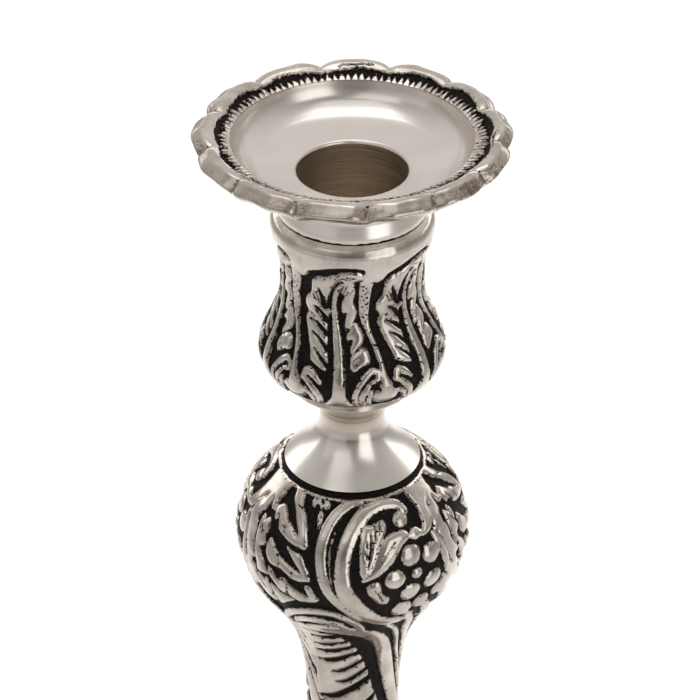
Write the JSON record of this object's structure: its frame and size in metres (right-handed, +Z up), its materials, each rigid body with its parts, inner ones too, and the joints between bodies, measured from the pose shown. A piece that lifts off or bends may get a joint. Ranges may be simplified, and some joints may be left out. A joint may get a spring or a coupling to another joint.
{
  "type": "candlestick",
  "caption": "Free-standing baluster candlestick in oxidised silver plate: domed foot, scrolled knop stem, urn cup and a lift-out candle socket with a scalloped drip pan.",
  "frame": {"origin": "on the table, in the middle of the felt under the foot, on the stick's axis", "axes": "+Z up along the stick's axis, towards the candle; -Y is the side the picture was taken from"},
  "size_m": [0.1214, 0.1214, 0.2898],
  "materials": {
    "polished_silver": "polished",
    "oxidised_silver": "satin",
    "brushed_silver": "satin",
    "steel": "satin",
    "felt": "matte"
  },
  "bodies": {
    "candlestick": {"foot_dome": "oxidised_silver", "foot_border": "oxidised_silver", "lower_knop": "oxidised_silver", "baluster_stem": "oxidised_silver", "candle_cup": "oxidised_silver", "lower_neck": "polished_silver", "stem_ring": "polished_silver", "upper_neck": "polished_silver", "base_plate": "steel", "foot_washer": "steel", "foot_lock_washer": "steel", "foot_nut": "steel", "cup_washer": "steel", "cup_nut": "steel", "tie_rod": "steel", "felt_pad": "felt"},
    "nozzle": {"drip_pan": "polished_silver", "pan_border": "oxidised_silver", "nozzle_collar": "polished_silver", "candle_socket": "brushed_silver", "socket_floor": "brushed_silver"}
  },
  "joints": [
    {"name": "nozzle_lift", "type": "slide", "parent": "candlestick", "child": "nozzle", "axis": [0, 0, 1], "range_m": [0, 0.035]}
  ]
}
